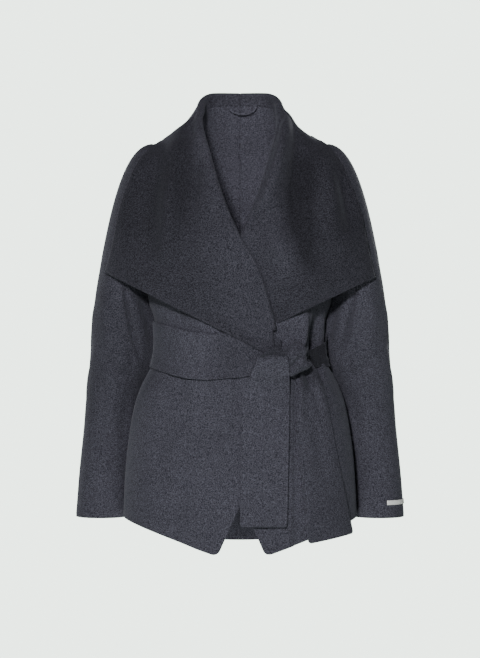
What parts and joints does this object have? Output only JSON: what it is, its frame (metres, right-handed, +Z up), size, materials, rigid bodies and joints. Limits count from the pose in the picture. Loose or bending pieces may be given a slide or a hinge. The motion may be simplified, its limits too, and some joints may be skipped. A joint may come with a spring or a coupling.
{
  "type": "wrap coat",
  "caption": "Hip-length unlined wool wrap coat with a draped shawl collar, long sleeves and a knotted tie belt, in the hollow form it has when worn.",
  "frame": {"origin": "midway between the two neck points of the shoulder seams", "axes": "+Z up along the body, -Y out of the front, +X towards the wearer's left"},
  "size_m": [0.5495, 0.275, 0.7597],
  "materials": {
    "wool_cloth": "double-faced wool melton, charcoal melange, matt with a fine nap",
    "label_tape": "white woven tape, bare"
  },
  "bodies": {
    "root": {"front_right": "wool_cloth", "front_left": "wool_cloth", "back_right": "wool_cloth", "back_left": "wool_cloth", "sleeve_right": "wool_cloth", "sleeve_left": "wool_cloth", "belt": "wool_cloth", "knot": "wool_cloth", "tail_front": "wool_cloth", "tail_back": "wool_cloth", "hanger_loop": "wool_cloth", "cuff_label": "label_tape"}
  },
  "joints": []
}
